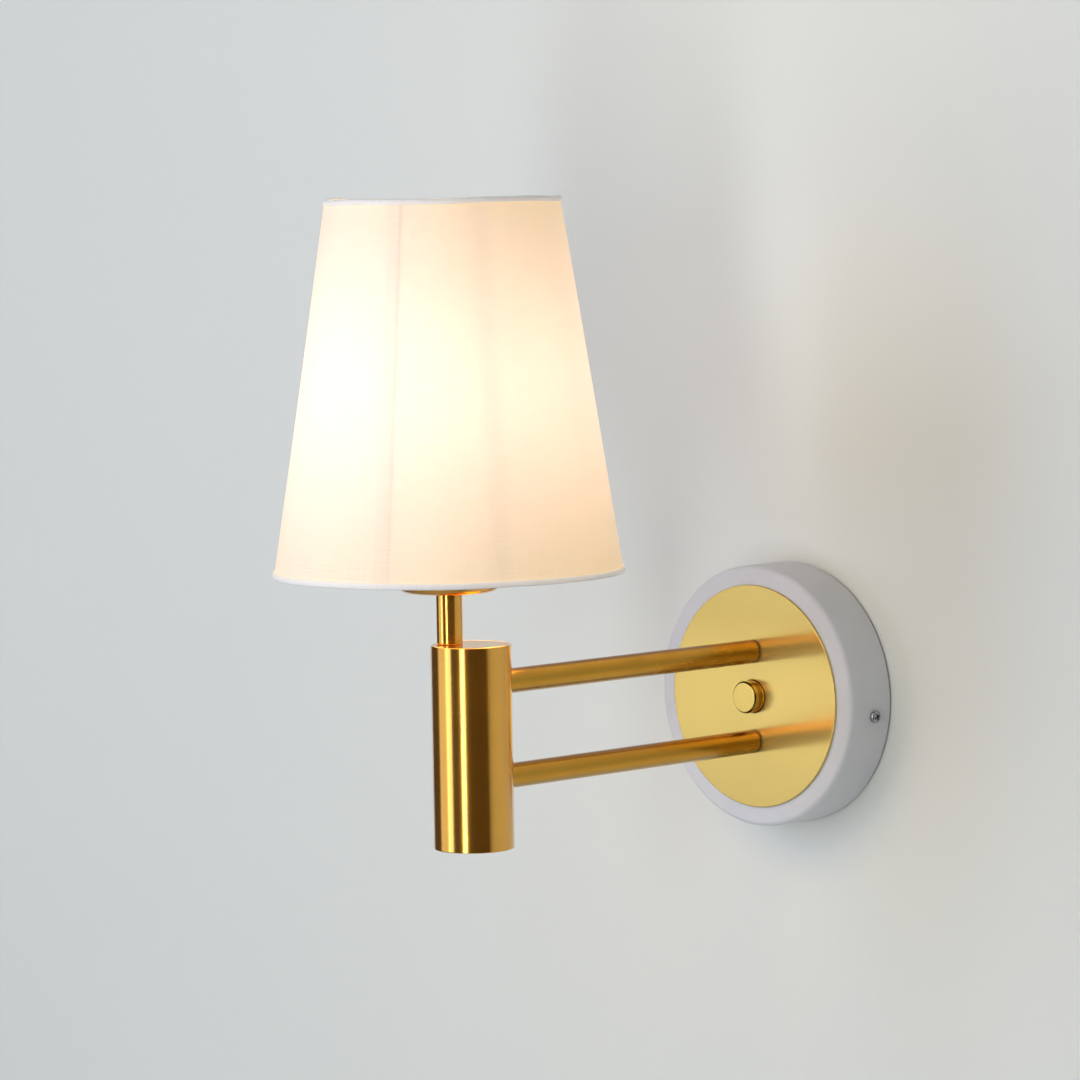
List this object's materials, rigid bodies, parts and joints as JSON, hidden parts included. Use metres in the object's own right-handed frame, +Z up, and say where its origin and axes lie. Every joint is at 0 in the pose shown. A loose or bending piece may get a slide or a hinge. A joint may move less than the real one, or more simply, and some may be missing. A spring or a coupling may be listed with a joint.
{
  "type": "swing arm wall sconce",
  "caption": "Wall lamp: round canopy with push switch, parallel brass arms, upright barrel with a turning head, and a tapered linen shade.",
  "frame": {"origin": "middle of the back face of the wall bracket, in the plane of the wall", "axes": "+X right when facing the wall, +Y into the wall, +Z up"},
  "size_m": [0.1524, 0.2823, 0.2902],
  "materials": {
    "brushed_brass": "brushed",
    "satin_brass": "satin polished",
    "raw_brass": "plain turned",
    "white_paint": "matt white paint",
    "zinc_steel": "zinc plated",
    "nylon": "natural nylon",
    "black_plastic": "moulded, fine grain",
    "white_plastic": "moulded",
    "cable_sleeve": "soft sleeve",
    "earth_sleeve": "green and yellow sleeve",
    "frosted_glass": "frosted inside, lit",
    "white_wire": "white coated wire",
    "shade_liner": "translucent white film",
    "linen": "off-white woven linen, translucent",
    "edge_tape": "folded bias tape"
  },
  "bodies": {
    "wall_base": {"wall_bracket": "zinc_steel", "canopy_shell": "white_paint", "canopy_screw_right": "zinc_steel", "canopy_screw_left": "zinc_steel", "face_disc": "brushed_brass", "disc_nut": "raw_brass", "button_spring": "zinc_steel", "switch_module": "black_plastic", "switch_lead_1": "cable_sleeve", "switch_lead_2": "cable_sleeve", "terminal_block": "white_plastic", "terminal_screw_1": "raw_brass", "terminal_screw_2": "raw_brass", "terminal_screw_3": "raw_brass", "earth_screw": "raw_brass", "earth_lead": "earth_sleeve", "flex_fixed": "cable_sleeve", "upper_arm": "satin_brass", "lower_arm": "satin_brass", "upper_wall_nipple": "zinc_steel", "upper_wall_washer": "zinc_steel", "upper_wall_nut": "raw_brass", "upper_barrel_nipple": "zinc_steel", "upper_barrel_saddle": "zinc_steel", "upper_barrel_nut": "raw_brass", "lower_wall_nipple": "zinc_steel", "lower_wall_washer": "zinc_steel", "lower_wall_nut": "raw_brass", "lower_barrel_nipple": "zinc_steel", "lower_barrel_saddle": "zinc_steel", "lower_barrel_nut": "raw_brass", "barrel_tube": "satin_brass", "barrel_base_cap": "satin_brass", "bearing_ring": "raw_brass", "friction_washer": "nylon", "stop_pin": "zinc_steel"},
    "push_button": {"button_cap": "brushed_brass", "switch_plunger": "white_plastic"},
    "lamp_head": {"turret_cap": "satin_brass", "retaining_clip": "zinc_steel", "flex_head": "cable_sleeve", "stem": "satin_brass", "dish": "satin_brass", "lampholder_base": "white_plastic", "stem_nut": "raw_brass", "lampholder_body": "white_plastic", "lampholder_shell": "raw_brass", "centre_contact": "raw_brass", "shade_ring_nut": "white_plastic", "bulb_cap": "zinc_steel", "bulb_contact": "raw_brass", "bulb_glass": "frosted_glass", "shade_frame": "white_wire", "shade_top_ring": "white_wire", "shade_liner": "shade_liner", "shade_fabric": "linen", "shade_bottom_tape": "edge_tape", "shade_top_tape": "edge_tape"}
  },
  "joints": [
    {"name": "button_press", "type": "slide", "parent": "wall_base", "child": "push_button", "axis": [0, 1, 0], "range_m": [0, 0.0025], "stiffness_N_per_m": 600, "springref_m": -0.0008, "deforming": ["button_spring"]},
    {"name": "head_swivel", "type": "hinge", "parent": "wall_base", "child": "lamp_head", "pos_m": [0, -0.201, 0], "axis": [0, 0, 1], "range_deg": [-170, 170]}
  ]
}
